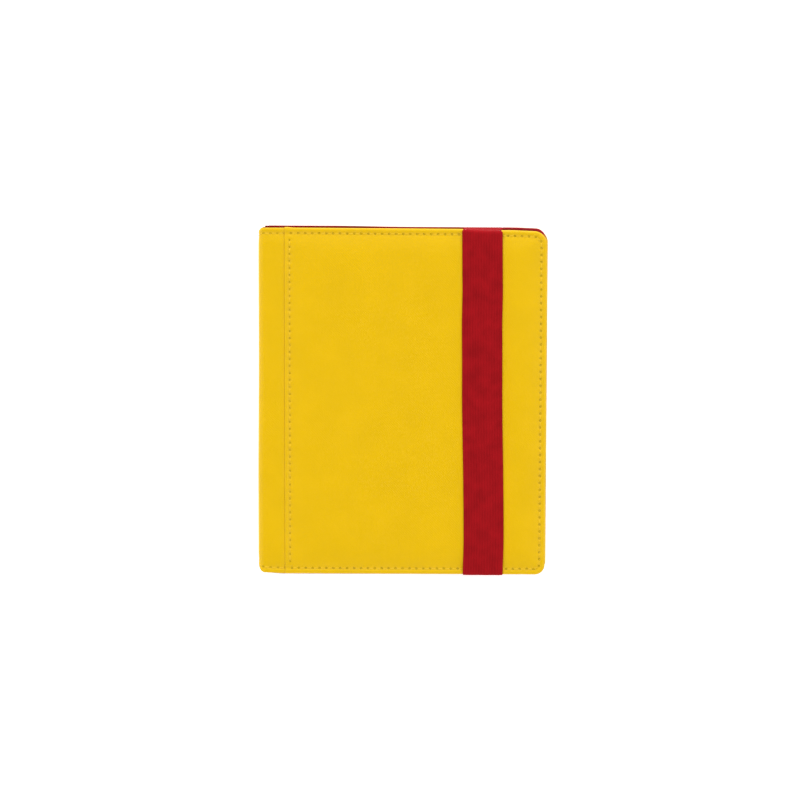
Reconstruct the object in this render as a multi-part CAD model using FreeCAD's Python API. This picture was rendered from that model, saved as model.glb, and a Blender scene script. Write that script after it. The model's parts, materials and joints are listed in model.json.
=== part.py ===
"""Four-pocket trading card binder, closed and lying on its back cover.

Units are millimetres and degrees. +X runs from the spine to the fore edge, +Y from tail to head
and +Z up through the closed binder. The origin is the middle of the face that it rests on.
A cover is built in a cover frame, where Z is the depth below the outer face. The back cover is
that frame as it is. The front cover is its mirror image, turned about the front hinge line until
it lies on the stack of leaves, which is thinner than the spine while the pockets are empty.
"""

import FreeCAD
import Part

import math
import os

from FreeCAD import Vector

# Outside of the closed binder
WIDTH = 181.0
HEIGHT = 218.0
SPINE_WIDTH = 32.0
CORNER_RADIUS = 7.0

# Layers of a cover, from the outer face inwards
SKIN = 0.9
FOAM = 1.2
BOARD = 1.8
LINING = 0.5
COVER = SKIN + FOAM + BOARD + LINING
EDGE_WALL = 1.0
EDGE_MIDDLE = COVER / 2
BOARD_INSET = 6.0

# Hinge lines, measured from the outer faces of the spine and of the cover
HINGE = 0.9
SPINE_END = 3.2
STRIP_START = 3.8

# Seam where the cover panel overlaps the leatherette that wraps the spine
BOARD_START = 8.0
PANEL_START = 15.8
TUCK = 7.0
STRIP_SINK = 0.35
LAP = 1.0
SEAM_FROM_PANEL_EDGE = 3.3

# Stitching
STITCH_PITCH = 4.4
STITCH_LENGTH = 3.2
STITCH_WIDTH = 0.7
STITCH_DEPTH = 0.3
STITCH_INSET = 3.5
GROOVE_WIDTH = 1.4
GROOVE_DEPTH = 0.35

# Leaves, counted from the front cover down
LEAF_COUNT = 20
SHEET = 0.2
FILM = 0.10
POCKET_GAP = 0.05
PAGE_HEIGHT = 203.0
PAGE_EDGE = 168.0
POCKET_WIDTH = 70.0
POCKET_HEIGHT = 98.0
COLUMN_SEAM = 3.0
EDGE_SEAM = 2.5
ROW_SEAM = 2.0
WELD = 1.0
LEAF_PITCH_AT_EDGE = 0.56
LINING_TO_LEAF = 0.15

# Binding block that holds the roots of the leaves
BLOCK_LOW = 5.2
BLOCK_FACE = 6.0
BLOCK_HEIGHT = 200.0
ROOT_MARGIN = 0.5
ROOT_GAP = 0.3
ROOT_STEP = 0.65

# Elastic strap
STRAP_WIDTH = 25.4
STRAP_THICKNESS = 1.1
STRAP_GAP = 0.15
STRAP_CENTRE = 140.2
STRAP_BEND = 1.0
STRAP_LEG_END = 1.2
TAB_LOW = 2.3
TAB_REACH = 14.0
TAB_ROOM = 0.5

HALF = HEIGHT / 2
UP = Vector(0, 0, 1)
ALONG_SPINE = Vector(0, 1, 0)


def x_at(offset):
    """X of a place given by its distance from the spine's outer face."""
    return offset - WIDTH / 2


def block(x0, x1, y0, y1, z0, z1):
    """A box between two offsets from the spine's outer face, two heights and two depths."""
    return Part.makeBox(x1 - x0, y1 - y0, z1 - z0, Vector(x_at(x0), y0, z0))


def panel(x0, x1, half, radius, z0, z1):
    """A flat sheet whose two corners at x1 are rounded."""
    left, right = x_at(x0), x_at(x1)
    slant = radius * (1 - math.sqrt(0.5))
    corners = [
        Vector(left, -half, z0),
        Vector(right - radius, -half, z0),
        Vector(right - slant, -half + slant, z0),
        Vector(right, -half + radius, z0),
        Vector(right, half - radius, z0),
        Vector(right - slant, half - slant, z0),
        Vector(right - radius, half, z0),
        Vector(left, half, z0),
    ]
    edges = [
        Part.makeLine(corners[0], corners[1]),
        Part.Arc(corners[1], corners[2], corners[3]).toShape(),
        Part.makeLine(corners[3], corners[4]),
        Part.Arc(corners[4], corners[5], corners[6]).toShape(),
        Part.makeLine(corners[6], corners[7]),
        Part.makeLine(corners[7], corners[0]),
    ]
    return Part.Face(Part.Wire(edges)).extrude(Vector(0, 0, z1 - z0))


def stitch_groove(x0, depth):
    """The groove that the head, fore edge and tail stitching sinks into, open at x0."""
    half_groove = GROOVE_WIDTH / 2
    outer = STITCH_INSET - half_groove
    inner = STITCH_INSET + half_groove
    wide = panel(x0, WIDTH - outer, HALF - outer, CORNER_RADIUS - outer, 0, depth)
    narrow = panel(x0, WIDTH - inner, HALF - inner, CORNER_RADIUS - inner, 0, depth)
    return wide.cut(narrow)


def seam_groove(depth):
    """The straight groove of the seam that joins the cover panel to the spine wrap."""
    middle = PANEL_START + SEAM_FROM_PANEL_EDGE
    half_groove = GROOVE_WIDTH / 2
    return block(middle - half_groove, middle + half_groove, -HALF, HALF, 0, depth)


def tray(x0, x1, floor0, floor1, rim0, rim1):
    """A sheet from floor0 to floor1 with a wall from rim0 to rim1 at its head, fore edge and tail."""
    floor = panel(x0, x1, HALF, CORNER_RADIUS, floor0, floor1)
    rim = panel(x0, x1, HALF, CORNER_RADIUS, rim0, rim1)
    inside_radius = CORNER_RADIUS - EDGE_WALL
    inside = panel(x0, x1 - EDGE_WALL, HALF - EDGE_WALL, inside_radius, rim0, rim1)
    return floor.fuse(rim.cut(inside)).removeSplitter()


def outer_skin():
    """The padded leatherette panel, its edges turned down to meet those of the lining."""
    skin = tray(PANEL_START, WIDTH, 0, SKIN, SKIN, EDGE_MIDDLE)
    return skin.cut(stitch_groove(PANEL_START, GROOVE_DEPTH)).cut(seam_groove(GROOVE_DEPTH))


def hinge_strip():
    """The part of the spine wrap that lies on a cover, and tucks in under its panel's folded edge."""
    lap = PANEL_START - LAP
    shown = block(STRIP_START, PANEL_START - 0.1, -HALF, HALF, STRIP_SINK, STRIP_SINK + SKIN)
    tucked = block(lap, PANEL_START + TUCK, -HALF + EDGE_WALL, HALF - EDGE_WALL, SKIN, 2 * SKIN)
    line = HALF - STITCH_INSET
    strip = shown.fuse(tucked).removeSplitter()
    for side in (-line, line):
        low, high = side - GROOVE_WIDTH / 2, side + GROOVE_WIDTH / 2
        strip = strip.cut(block(STRIP_START, PANEL_START, low, high, 0, STRIP_SINK + GROOVE_DEPTH))
    return strip


def foam():
    """The padding on the board, squeezed thinner where the hinge strip lies over it."""
    half = HALF - BOARD_INSET
    low = SKIN + FOAM
    lap = PANEL_START - LAP
    tuck_end = PANEL_START + TUCK
    under_strip = block(BOARD_START, lap, -half, half, STRIP_SINK + SKIN, low)
    under_tuck = block(lap, tuck_end, -half, half, 2 * SKIN, low)
    full = panel(tuck_end, WIDTH - BOARD_INSET, half, CORNER_RADIUS - BOARD_INSET, SKIN, low)
    return full.fuse([under_strip, under_tuck]).removeSplitter()


def board():
    """The stiff grey board of a cover."""
    half = HALF - BOARD_INSET
    low = SKIN + FOAM
    return panel(BOARD_START, WIDTH - BOARD_INSET, half, CORNER_RADIUS - BOARD_INSET, low, low + BOARD)


def lining():
    """The cloth inside a cover, its edges turned out to meet those of the skin."""
    return tray(STRIP_START, WIDTH, COVER - LINING, COVER, EDGE_MIDDLE, COVER - LINING)


def edge_path(x0, spacing):
    """Places and headings, evenly spaced, along the head, fore edge and tail stitching."""
    radius = CORNER_RADIUS - STITCH_INSET
    line = HALF - STITCH_INSET
    straight = WIDTH - STITCH_INSET - radius - x0
    side = 2 * (line - radius)
    quarter = math.pi * radius / 2
    total = 2 * straight + 2 * quarter + side
    count = round(total / spacing)
    for i in range(count):
        s = (i + 0.5) * total / count
        if s < straight:
            yield x0 + s, line, 0.0
        elif s < straight + quarter:
            turn = (s - straight) / radius
            yield x0 + straight + radius * math.sin(turn), line - radius + radius * math.cos(turn), -turn
        elif s < straight + quarter + side:
            yield WIDTH - STITCH_INSET, line - radius - (s - straight - quarter), -math.pi / 2
        elif s < straight + 2 * quarter + side:
            turn = (s - straight - quarter - side) / radius
            across = radius * math.cos(turn)
            yield x0 + straight + across, -line + radius - radius * math.sin(turn), -math.pi / 2 - turn
        else:
            yield x0 + total - s, -line, math.pi


def line_path(start, end, fixed, spacing):
    """Places and headings along a straight row of stitches that runs in Y."""
    count = round((end - start) / spacing)
    for i in range(count):
        yield fixed, start + (i + 0.5) * (end - start) / count, math.pi / 2


def stitch(x, y, heading, depth0):
    """One stitch lying between depth0 and depth0 + STITCH_DEPTH of a cover."""
    half_length, half_width = STITCH_LENGTH / 2, STITCH_WIDTH / 2
    thread = Part.makeBox(
        STITCH_LENGTH, STITCH_WIDTH, STITCH_DEPTH, Vector(-half_length, -half_width, depth0)
    )
    thread.rotate(Vector(0, 0, 0), UP, math.degrees(heading))
    thread.translate(Vector(x_at(x), y, 0))
    return thread


def cover_stitching():
    """Every stitch of a cover: what shows on the skin, and on the lining behind it."""
    strip_depth = STRIP_SINK + GROOVE_DEPTH - STITCH_DEPTH
    skin_depth = GROOVE_DEPTH - STITCH_DEPTH
    stitches = []
    for x, y, heading in edge_path(STRIP_START + 0.5, STITCH_PITCH):
        crosses_fold = abs(x - PANEL_START) < STITCH_LENGTH / 2
        if not crosses_fold:
            depth = skin_depth if x > PANEL_START else strip_depth
            stitches.append(stitch(x, y, heading, depth))
        stitches.append(stitch(x, y, heading, COVER))
    seam = PANEL_START + SEAM_FROM_PANEL_EDGE
    end = HALF - STITCH_INSET - GROOVE_WIDTH
    for x, y, heading in line_path(-end, end, seam, STITCH_PITCH):
        stitches.append(stitch(x, y, heading, skin_depth))
        stitches.append(stitch(x, y, heading, COVER))
    return Part.makeCompound(stitches)


def fold_angle():
    """How far the front cover turns down to lie on the leaves at their fore edge."""
    stack = LEAF_COUNT * LEAF_PITCH_AT_EDGE + 2 * LINING_TO_LEAF
    fall = (SPINE_WIDTH - COVER) - (COVER + stack)
    return math.degrees(math.asin(fall / (PAGE_EDGE - HINGE)))


def strap_foot():
    """Offset of the strap's middle where it meets the back cover, square below its front run."""
    turn = math.radians(fold_angle())
    along = STRAP_CENTRE - HINGE
    front_z = SPINE_WIDTH - HINGE - along * math.sin(turn)
    drop = front_z - TAB_LOW - STRAP_THICKNESS / 2
    return HINGE + along * math.cos(turn) - drop * math.tan(turn)


def strap_slots(shape, low, high):
    """Cuts the two gaps at the head and the tail that the sewn ends of the strap lie in."""
    middle = strap_foot()
    half = STRAP_WIDTH / 2 + TAB_ROOM
    reach = HALF - TAB_REACH - TAB_ROOM
    for y0, y1 in ((reach, HALF), (-HALF, -reach)):
        shape = shape.cut(block(middle - half, middle + half, y0, y1, low, high))
    return shape


def strap_sewn_ends():
    """The ends of the elastic, sewn in between the board and lining of the back cover."""
    middle = strap_foot()
    x0, x1 = middle - STRAP_WIDTH / 2, middle + STRAP_WIDTH / 2
    low, high = TAB_LOW, TAB_LOW + STRAP_THICKNESS
    reach = HALF - TAB_REACH
    head = block(x0, x1, reach, HALF, low, high)
    tail = block(x0, x1, -HALF, -reach, low, high)
    return Part.makeCompound([head, tail])


def to_front(shape):
    """Carries a piece from the cover frame to the front cover."""
    front = shape.mirror(Vector(0, 0, SPINE_WIDTH / 2), UP)
    front.rotate(Vector(x_at(HINGE), 0, SPINE_WIDTH - HINGE), ALONG_SPINE, fold_angle())
    return front


def elastic_strap():
    """The band from the back cover's head edge, over the front cover, to its tail edge."""
    reach = HALF + STRAP_GAP
    outside = reach + STRAP_THICKNESS
    x0, x1 = STRAP_CENTRE - STRAP_WIDTH / 2, STRAP_CENTRE + STRAP_WIDTH / 2
    top = -STRAP_GAP - STRAP_THICKNESS
    band = block(x0, x1, -outside, outside, top, SPINE_WIDTH)
    bends = [e for e in band.Edges if abs(e.CenterOfMass.z - top) < 1e-6 and e.Length < 2 * STRAP_WIDTH]
    along_x = [e for e in bends if abs(abs(e.CenterOfMass.y) - outside) < 1e-6]
    band = band.makeFillet(STRAP_BEND, along_x)
    band = band.cut(block(x0, x1, -reach, reach, -STRAP_GAP, SPINE_WIDTH))
    above = block(-WIDTH, 2 * WIDTH, -HEIGHT, HEIGHT, STRAP_LEG_END, 2 * SPINE_WIDTH)
    return to_front(band).common(above)


def spine_plate(x0, x1, half, z0):
    """A flat layer of the spine, between two offsets from its outer face."""
    return block(x0, x1, -half, half, z0, SPINE_WIDTH - z0)


def spine_wrap():
    """The leatherette face of the spine, with the ends of the head and tail stitch grooves."""
    wrap = spine_plate(0, SKIN, HALF, SPINE_END)
    line = HALF - STITCH_INSET
    for side in (-line, line):
        low, high = side - GROOVE_WIDTH / 2, side + GROOVE_WIDTH / 2
        wrap = wrap.cut(block(0, GROOVE_DEPTH, low, high, SPINE_END, SPINE_WIDTH - SPINE_END))
    return wrap


def spine_stitching():
    """The head and tail stitches that carry on across the spine."""
    line = HALF - STITCH_INSET
    run = SPINE_WIDTH - 2 * SPINE_END
    count = round(run / STITCH_PITCH)
    threads = []
    for side in (-line, line):
        for i in range(count):
            middle = SPINE_END + (i + 0.5) * run / count
            low, high = middle - STITCH_LENGTH / 2, middle + STITCH_LENGTH / 2
            y0, y1 = side - STITCH_WIDTH / 2, side + STITCH_WIDTH / 2
            threads.append(block(GROOVE_DEPTH - STITCH_DEPTH, GROOVE_DEPTH, y0, y1, low, high))
    return Part.makeCompound(threads)


def root_pitch():
    """Distance between the roots of neighbouring leaves, across the spine."""
    return (SPINE_WIDTH - 2 * (BLOCK_LOW + ROOT_MARGIN)) / (LEAF_COUNT - 1)


def block_face(z):
    """Offset from the spine's outer face of the binding block's ridged face, at a height z."""
    from_side = SPINE_WIDTH / 2 - BLOCK_LOW - abs(z - SPINE_WIDTH / 2)
    return BLOCK_FACE + from_side * ROOT_STEP / root_pitch()


def binding_block():
    """The glued block of page margins, ridged like a roof so that the leaves can lie open."""
    back = SKIN + BOARD + LINING
    y0 = -BLOCK_HEIGHT / 2
    top = SPINE_WIDTH - BLOCK_LOW
    middle = SPINE_WIDTH / 2
    outline = [
        Vector(x_at(back), y0, BLOCK_LOW),
        Vector(x_at(BLOCK_FACE), y0, BLOCK_LOW),
        Vector(x_at(block_face(middle)), y0, middle),
        Vector(x_at(BLOCK_FACE), y0, top),
        Vector(x_at(back), y0, top),
    ]
    wire = Part.makePolygon(outline + outline[:1])
    return Part.Face(wire).extrude(Vector(0, BLOCK_HEIGHT, 0))


def binding_stitching():
    """The row of stitches that shows on the two flat sides of the binding block."""
    depth = 0.25
    middle = (SKIN + BOARD + LINING + BLOCK_FACE) / 2
    end = BLOCK_HEIGHT / 2 - STITCH_PITCH
    threads = []
    for x, y, _ in line_path(-end, end, middle, STITCH_PITCH):
        x0, x1 = x - STITCH_WIDTH / 2, x + STITCH_WIDTH / 2
        y0, y1 = y - STITCH_LENGTH / 2, y + STITCH_LENGTH / 2
        threads.append(block(x0, x1, y0, y1, BLOCK_LOW - depth, BLOCK_LOW))
        top = SPINE_WIDTH - BLOCK_LOW
        threads.append(block(x0, x1, y0, y1, top, top + depth))
    return Part.makeCompound(threads)


def leaf_place(number):
    """Root offset, root height and downward slope of a leaf, number 1 lying under the front cover."""
    from_below = LEAF_COUNT - number
    root_z = BLOCK_LOW + ROOT_MARGIN + from_below * root_pitch()
    root_x = block_face(root_z) + ROOT_GAP
    tip_z = COVER + LINING_TO_LEAF + LEAF_PITCH_AT_EDGE * (from_below + 0.5)
    slope = math.degrees(math.asin((root_z - tip_z) / (PAGE_EDGE - root_x)))
    return root_x, root_z, slope


def to_leaf(shape, number):
    """Carries a piece from a flat page, measured from its free edge, to its place in the stack."""
    root_x, root_z, slope = leaf_place(number)
    shape.translate(Vector(PAGE_EDGE - root_x, 0, 0))
    shape.rotate(Vector(0, 0, 0), ALONG_SPINE, slope)
    shape.translate(Vector(x_at(root_x), 0, root_z))
    return shape


def leaf_sheet(number):
    """The opaque middle sheet of a leaf."""
    length = PAGE_EDGE - leaf_place(number)[0]
    corner = Vector(-length, -PAGE_HEIGHT / 2, -SHEET / 2)
    return to_leaf(Part.makeBox(length, PAGE_HEIGHT, SHEET, corner), number)


def pocket(x0, y0, side):
    """One clear pocket film, welded at three edges and open towards the spine."""
    depth = FILM + POCKET_GAP
    film = Part.makeBox(POCKET_WIDTH, POCKET_HEIGHT, depth)
    room = Part.makeBox(POCKET_WIDTH - WELD, POCKET_HEIGHT - 2 * WELD, POCKET_GAP, Vector(0, WELD, 0))
    film = film.cut(room)
    if side < 0:
        film = film.mirror(Vector(0, 0, 0), UP)
    film.translate(Vector(x0, y0, side * SHEET / 2))
    return film


def leaf_pockets(number):
    """The eight pockets of a leaf, four on each face."""
    outer = -EDGE_SEAM - POCKET_WIDTH
    inner = outer - COLUMN_SEAM - POCKET_WIDTH
    films = []
    for side in (1, -1):
        for x0 in (outer, inner):
            for y0 in (ROW_SEAM / 2, -ROW_SEAM / 2 - POCKET_HEIGHT):
                films.append(pocket(x0, y0, side))
    return to_leaf(Part.makeCompound(films), number)


def pieces():
    """Every node's name and shape."""
    yield "back_outer_skin", outer_skin()
    yield "back_hinge_strip", hinge_strip()
    yield "back_foam", foam()
    tab_top = TAB_LOW + STRAP_THICKNESS + 0.1
    yield "back_board", strap_slots(board(), SKIN + FOAM, SKIN + FOAM + BOARD)
    yield "back_lining", strap_slots(lining(), EDGE_MIDDLE, tab_top)
    yield "back_stitching", cover_stitching()
    yield "strap_sewn_ends", strap_sewn_ends()
    yield "elastic_strap", elastic_strap()
    yield "spine_wrap", spine_wrap()
    yield "spine_board", spine_plate(SKIN, SKIN + BOARD, HALF - BOARD_INSET, SPINE_END)
    yield "spine_lining", spine_plate(SKIN + BOARD, SKIN + BOARD + LINING, HALF - EDGE_WALL, SPINE_END)
    yield "spine_stitching", spine_stitching()
    yield "binding_block", binding_block()
    yield "binding_stitching", binding_stitching()
    yield "front_outer_skin", to_front(outer_skin())
    yield "front_hinge_strip", to_front(hinge_strip())
    yield "front_foam", to_front(foam())
    yield "front_board", to_front(board())
    yield "front_lining", to_front(lining())
    yield "front_stitching", to_front(cover_stitching())
    for number in range(1, LEAF_COUNT + 1):
        yield f"leaf_{number:02d}_sheet", leaf_sheet(number)
        yield f"leaf_{number:02d}_pockets", leaf_pockets(number)


def main():
    os.makedirs("parts", exist_ok=True)
    print(f"front cover lies {fold_angle():.3f} degrees down")
    for name, shape in pieces():
        assert shape.isValid() and all(s.Volume > 0 for s in shape.Solids), name
        shape.exportStep(f"parts/{name}.step")
        box = shape.BoundBox
        print(f"{name}: {len(shape.Solids)} solids, z {box.ZMin:.2f} to {box.ZMax:.2f}")


main()
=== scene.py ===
"""The looks of the trading card binder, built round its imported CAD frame.

Places and sizes are millimetres in the row frame until a mesh is made. A cover is shaped in its own
cover frame: an offset from the spine's outer face, a place along the spine, and a depth below the
cover's outer face. The back cover is that frame as it is, and the front cover is carried to it.
"""

import json
import math

import bpy
import numpy as np
from mathutils import Euler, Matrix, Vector


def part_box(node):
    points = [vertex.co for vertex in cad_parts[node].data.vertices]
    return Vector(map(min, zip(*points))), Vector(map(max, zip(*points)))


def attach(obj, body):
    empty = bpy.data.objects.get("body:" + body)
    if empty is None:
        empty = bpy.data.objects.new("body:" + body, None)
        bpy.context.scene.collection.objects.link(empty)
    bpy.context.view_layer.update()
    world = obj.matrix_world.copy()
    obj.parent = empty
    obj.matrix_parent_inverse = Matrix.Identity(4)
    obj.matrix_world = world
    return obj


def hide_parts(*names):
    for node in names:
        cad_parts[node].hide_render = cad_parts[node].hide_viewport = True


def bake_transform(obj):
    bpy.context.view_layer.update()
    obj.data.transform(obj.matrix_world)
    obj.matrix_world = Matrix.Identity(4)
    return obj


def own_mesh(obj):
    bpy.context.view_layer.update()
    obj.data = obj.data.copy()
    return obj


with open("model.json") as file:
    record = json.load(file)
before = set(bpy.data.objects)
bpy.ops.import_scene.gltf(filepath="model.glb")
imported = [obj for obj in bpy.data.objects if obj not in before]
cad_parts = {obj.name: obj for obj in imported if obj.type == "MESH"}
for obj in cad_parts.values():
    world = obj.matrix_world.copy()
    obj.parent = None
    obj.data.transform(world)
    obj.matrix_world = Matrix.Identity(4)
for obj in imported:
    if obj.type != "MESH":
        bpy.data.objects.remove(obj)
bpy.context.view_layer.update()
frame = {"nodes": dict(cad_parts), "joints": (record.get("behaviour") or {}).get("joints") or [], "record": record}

MM = 0.001

# Mesh cells: the size of a coarse one in millimetres, the parts that each side of a fine one has, how
# many beside an edge are fine, and how many are drawn towards the edge, with the power that does it
CELL = 1.757
FINE = 4
BORDER_CELLS = 5
BUNCH_CELLS = 4
BUNCH_POWER = 1.35


def low_high(node):
    """A CAD node's lowest and highest corners, in millimetres."""
    low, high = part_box(node)
    return low / MM, high / MM


joints = {j["name"]: j for j in frame["joints"]}
couplings = {c["joint"]: c["ratio"] for c in frame["record"]["behaviour"]["couplings"]}

# Driving sizes, read from the frame
SPINE_FACE = low_high("spine_wrap")[0].x
HALF = low_high("back_outer_skin")[1].y
WIDTH = low_high("back_outer_skin")[1].x - SPINE_FACE
PANEL_START = low_high("back_outer_skin")[0].x - SPINE_FACE
LINING_START = low_high("back_lining")[0].x - SPINE_FACE
MIDDLE = low_high("back_outer_skin")[1].z
COVER = low_high("back_lining")[1].z
SPINE_INSIDE = low_high("spine_lining")[1].x - SPINE_FACE
BLOCK_LOW = low_high("binding_block")[0].z
FRONT_HINGE = Vector(joints["front_fold"]["pos_m"]) / MM
BACK_HINGE = Vector(joints["spine_fold"]["pos_m"]) / MM
THICKNESS = FRONT_HINGE.z + BACK_HINGE.z
TILT = math.radians(90 * (couplings["front_fold"] - 1))
BOARD_INSET = HALF - low_high("back_board")[1].y

# How the covers lie: the front one's turn, the flap's place and lean, and where the head edge falls
STRAP_CENTRE = 140.2
ASKEW = 0.5
SET_OUT = 0.5
LEAN = 0.55
DROOP = 0.6
DROOP_START = 24.0
DROOP_RUN = 22.0
STRAP_PULL = 0.6
PULL_START = 12.0
PULL_RUN = 18.0
CORNERS = {1: 8.0, -1: 6.2}

# Stitching, its needle holes and the pucker round them
STITCH_INSET = 3.5
SEAM_INSET = 3.3
STITCH_PITCH = 4.4
HOLE_DEPTH = 0.26
HOLE_SIZE = 0.55
PUCKER = 0.07
PUCKER_WIDTH = 1.7
THREAD_RADIUS = 0.3

# Dips, folds and rolls of the padded covers
STITCH_DIP = 1.15
CROWN_WIDTH = 14.0
WELT_TOP = 1.8
WELT_DIP = 0.78
EDGE_ROLL = 1.6
EDGE_FALL = 0.85
SEAM_DIP = 0.7
SEAM_CROWN = 11.0
FOLD_TOP = 1.2
FOLD_DIP = 0.26
FOLD_FALL = 0.75
PANEL_BACK = 2.08
PANEL_RISE = 0.10
STACK_BULGE = 0.4
LEAST_DEPTH = 0.02

# Linings
LINING_OVERHANG = 0.7
OVERHANG_RISE = 0.65
LINING_SHY = 0.65
LINING_FALL = 0.9
LINING_WELT = 0.28
LINING_GROOVE = 0.25
BOARD_STEP = 0.85
HINGE_HEAD_REACH = 0.3
HINGE_TAIL_SHY = 0.7

# Spine wrap
SPINE_FLARE = 0.5
SPINE_FULL = 0.15
SPINE_BOW = 0.3
HEAD_ROUND = 1.6
TAIL_ROUND = 4.2
TAIL_DRAW = 0.55
WRAP_DIP = 0.55
WRAP_FALL = 0.5
WRAP_THICKNESS = 0.9

# Leaves
LEAF_COUNT = 20
POCKET_WIDTH = 70.0
POCKET_HEIGHT = 98.0
EDGE_SEAM = 2.5
COLUMN_SEAM = 3.0
ROW_SEAM = 2.0
PAGE = 0.1
PAGE_CORNER = 3.0
NOTCH = 9.0
FILM = 0.1
FILM_GAP = 0.05
WELDS = (0.35, 1.05)
WELD_WIDTH = 0.4
LEAF_BEND = 8.0

# Strap
STRAP_WIDTH = low_high("strap_sewn_ends")[1].x - low_high("strap_sewn_ends")[0].x
STRAP_THICKNESS = 1.1
STRAP_GAP = 0.15
STRAP_BEND = 1.25
STRAP_PRESS = {1: 1.4, -1: 0.35}
HEAD_FOOT_DRAW = 0.45
STRAP_RIBS = 15
RIB_HEIGHT = 0.11
RIB_UNDER = 0.12
RIB_STEPS = 6


# Places

def from_cover(points, front, on_cover=1.0):
    """Points of the cover frame, carried to the back cover or the front cover.

    on_cover is 1 for points that lie on the cover, and 0 for points on the spine, which has no tilt.
    """
    p = np.array(points, float).reshape(-1, 3)
    p[:, 1] -= DROOP * smooth((p[:, 0] - WIDTH + DROOP_START) / DROOP_RUN) * smooth(p[:, 1] / HALF)
    p[:, 0] += SPINE_FACE
    if not front:
        return p
    across = np.clip((p[:, 0] - SPINE_FACE - PANEL_START) / (WIDTH - PANEL_START), 0, 1)
    on_flap = smooth((p[:, 0] - SPINE_FACE) / PANEL_START)
    p[:, 0] += (SET_OUT - LEAN * p[:, 1] / HALF) * on_flap * (1 - across)
    p[:, 1] -= ASKEW * across
    past_strap = smooth((p[:, 0] - SPINE_FACE - STRAP_CENTRE + PULL_START) / PULL_RUN)
    p[:, 1] -= STRAP_PULL * past_strap * smooth(p[:, 1] / HALF)
    dx = p[:, 0] - FRONT_HINGE.x
    dz = THICKNESS - p[:, 2] - FRONT_HINGE.z
    c, s = np.cos(TILT * on_cover), np.sin(TILT * on_cover)
    return np.stack([FRONT_HINGE.x + dx * c + dz * s, p[:, 1], FRONT_HINGE.z - dx * s + dz * c], axis=1)


def smooth(t):
    """A smooth step from 0 at 0 to 1 at 1."""
    t = np.clip(t, 0, 1)
    return t * t * (3 - 2 * t)


def quarter(t):
    """The fall of a quarter round: 0 at t 0, and 1, straight down, at t 1."""
    return 1 - np.sqrt(1 - np.clip(t, 0, 1) ** 2)


def uneven(x, y):
    """Slow, shallow unevenness, from -1 to 1."""
    return 0.5 * np.sin(x / 23 + 1.3) * np.sin(y / 31 + 0.4) + 0.5 * np.sin(x / 12 + y / 17 + 2.0)


# Mesh making

def new_mesh(name, points, faces, materials, grain=None, flip=False, slots=None, smooth_shade=True):
    """A mesh object from points in millimetres."""
    mesh = bpy.data.meshes.new(name)
    if flip:
        faces = [f[::-1] for f in faces]
    mesh.from_pydata((np.asarray(points, float) * MM).tolist(), [], faces)
    for material in materials:
        mesh.materials.append(material)
    if slots is not None:
        mesh.polygons.foreach_set("material_index", slots)
    mesh.polygons.foreach_set("use_smooth", [smooth_shade] * len(mesh.polygons))
    if grain is not None:
        attribute = mesh.attributes.new("grain", "FLOAT_VECTOR", "POINT")
        attribute.data.foreach_set("vector", np.asarray(grain, np.float32).ravel())
    mesh.update()
    piece = bpy.data.objects.new(name, mesh)
    bpy.context.scene.collection.objects.link(piece)
    return piece


def sharpen(piece, degrees=50):
    """Shades edges sharper than an angle as creases."""
    piece.data.set_sharp_from_angle(angle=math.radians(degrees))


def lattice(nx, ny, fine):
    """Vertex keys and faces of nx by ny cells. A cell where fine(i, j) is true is split FINE by FINE.

    Keys are whole numbers in fine steps. Every edge on the outside is split, so that a fine and a
    coarse lattice of the same size share their outline.
    """
    keys, faces = {}, []

    def at(i, j):
        return keys.setdefault((i, j), len(keys))

    def is_fine(i, j):
        return not (0 <= i < nx and 0 <= j < ny) or fine(i, j)

    for i in range(nx):
        for j in range(ny):
            x, y = i * FINE, j * FINE
            if fine(i, j):
                for a in range(FINE):
                    for b in range(FINE):
                        u, v = x + a, y + b
                        faces.append([at(u, v), at(u + 1, v), at(u + 1, v + 1), at(u, v + 1)])
                continue
            steps = range(FINE)
            ring = [at(x + k, y) for k in steps if k == 0 or is_fine(i, j - 1)]
            ring += [at(x + FINE, y + k) for k in steps if k == 0 or is_fine(i + 1, j)]
            ring += [at(x + FINE - k, y + FINE) for k in steps if k == 0 or is_fine(i, j + 1)]
            ring += [at(x, y + FINE - k) for k in steps if k == 0 or is_fine(i - 1, j)]
            faces.append(ring)
    return np.array(list(keys), int), faces, keys


def outline(nx, ny):
    """The keys round the outside of a lattice, in order."""
    wide, tall = nx * FINE, ny * FINE
    ring = [(i, 0) for i in range(wide)]
    ring += [(wide, j) for j in range(tall)]
    ring += [(wide - i, tall) for i in range(wide)]
    ring += [(0, tall - j) for j in range(tall)]
    return ring


def closed_sheet(nx, ny, fine, shown, hidden, walls=()):
    """Points and faces of a closed sheet. shown and hidden map fine lattice keys to points.

    walls are places between 0 and 1, where the sheet's edge has further rows of points.
    """
    top_keys, top_faces, top = lattice(nx, ny, fine)
    low_keys, low_faces, low = lattice(nx, ny, lambda i, j: False)
    top_points, low_points = shown(top_keys), hidden(low_keys)
    points = [top_points, low_points]
    count = len(top_points) + len(low_points)
    faces = top_faces + [[k + len(top_points) for k in f[::-1]] for f in low_faces]
    ring = outline(nx, ny)
    above = [top[k] for k in ring]
    below = [low[k] + len(top_points) for k in ring]
    first = top_points[above]
    last = low_points[[low[k] for k in ring]]
    rows = [above]
    for t in walls:
        points.append(first * (1 - t) + last * t)
        rows.append(list(range(count, count + len(ring))))
        count += len(ring)
    rows.append(below)
    for a, b in zip(rows, rows[1:]):
        for k in range(len(ring)):
            n = (k + 1) % len(ring)
            faces.append([a[n], a[k], b[k], b[n]])
    return np.concatenate(points), faces


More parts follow.
